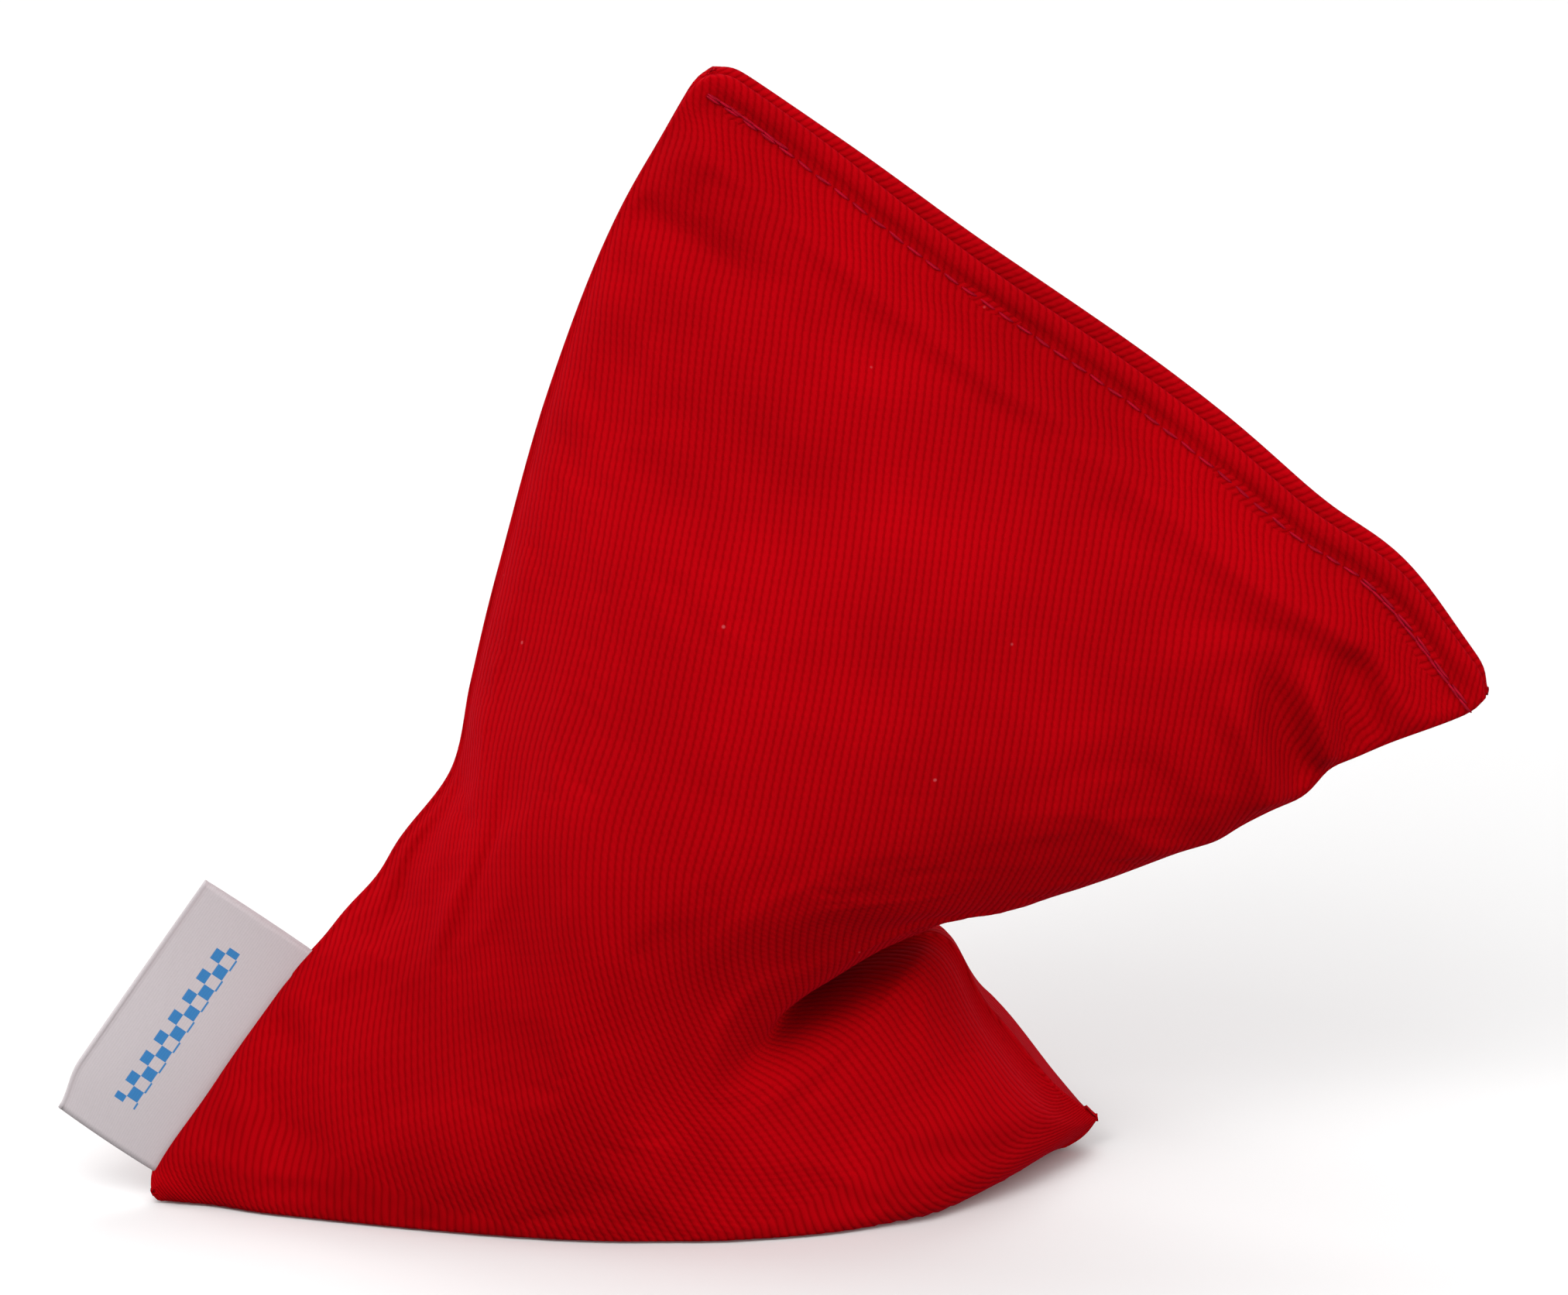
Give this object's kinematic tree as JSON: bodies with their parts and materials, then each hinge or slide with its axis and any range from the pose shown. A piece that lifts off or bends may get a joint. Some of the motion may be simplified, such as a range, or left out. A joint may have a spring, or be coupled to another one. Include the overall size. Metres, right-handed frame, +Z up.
{
  "type": "bean bag",
  "caption": "Small red cotton twill bean bag filled with granules, slumped on one short end, with a top-stitched closing edge and a folded white ribbon label in a side seam.",
  "frame": {"origin": "middle of the bounding box, on the floor under the bag", "axes": "+X runs along the floor from the label side to the folded side, +Z is up and the front panel faces -Y"},
  "size_m": [0.1444, 0.0506, 0.117],
  "materials": {
    "twill": "red cotton twill with a fine steep rib",
    "granules": "pale loose plastic granules",
    "ribbon": "white satin ribbon",
    "thread": "red sewing thread, a little pinker than the cloth"
  },
  "bodies": {
    "bag": {"front_panel": "twill", "back_panel": "twill", "granule_filling": "granules", "closing_needle_thread": "thread", "closing_bobbin_thread": "thread", "seam_needle_thread": "thread", "seam_bobbin_thread": "thread"},
    "label": {"side_label": "ribbon"}
  },
  "joints": [
    {"name": "label_flap", "type": "hinge", "parent": "bag", "child": "label", "pos_m": [-0.05595, -0.00724, 0.01468], "axis": [0.5706, 0.1746, 0.8024], "range_deg": [-60, 60], "stiffness_Nm_per_rad": 0.0002}
  ]
}
